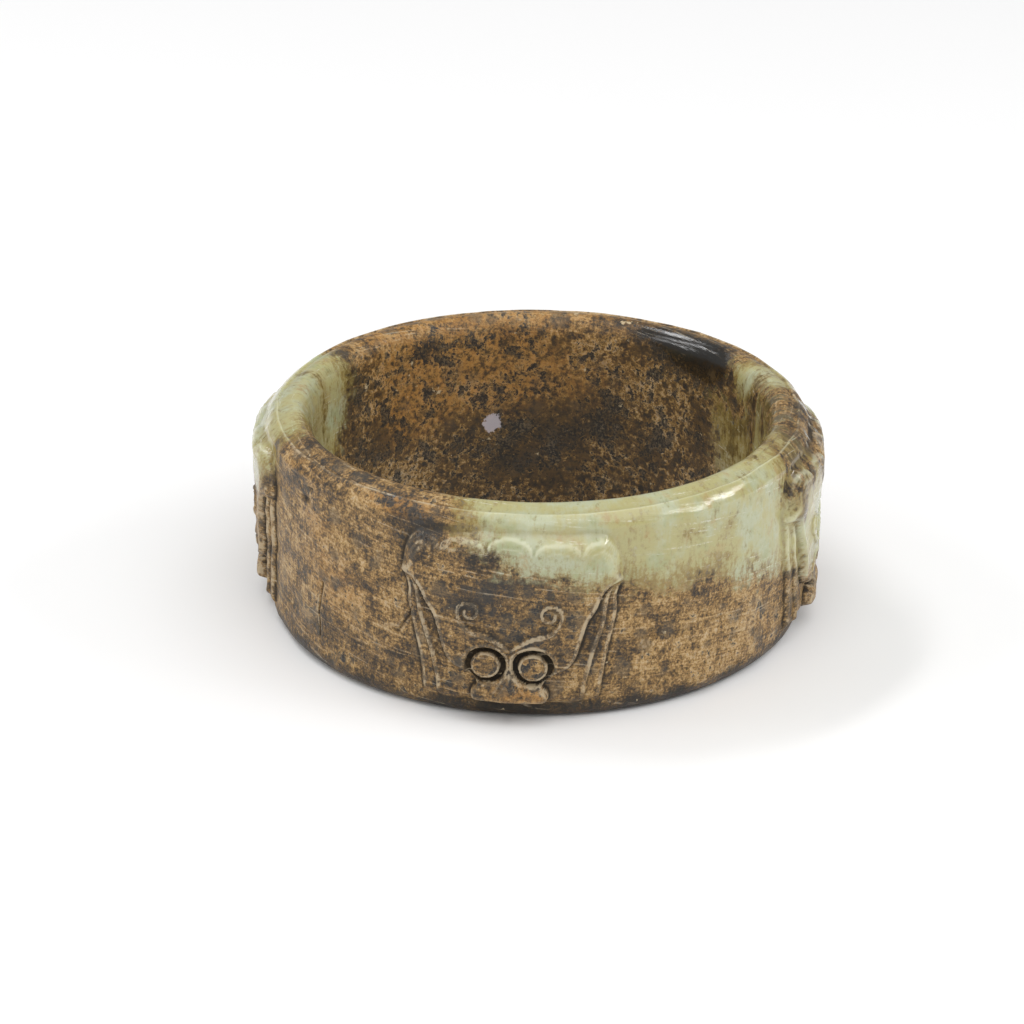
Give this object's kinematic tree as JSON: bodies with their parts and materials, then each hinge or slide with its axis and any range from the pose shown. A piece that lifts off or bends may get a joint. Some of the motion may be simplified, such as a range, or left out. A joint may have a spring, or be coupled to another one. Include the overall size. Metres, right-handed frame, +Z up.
{
  "type": "jade ring",
  "caption": "Carved jade ring or bangle with masks in low relief round its outer wall, a rounded lip and a plain bore; it lies flat on its underside.",
  "frame": {"origin": "middle of the ring on its underside", "axes": "+Z up along the bore, -Y towards the mask that faces the viewer, +X to the viewer's right"},
  "size_m": [0.08, 0.08, 0.0303],
  "materials": {
    "jade": "polished nephrite, mottled brown with pale green patches"
  },
  "bodies": {
    "root": {"jade_ring": "jade"}
  },
  "joints": []
}
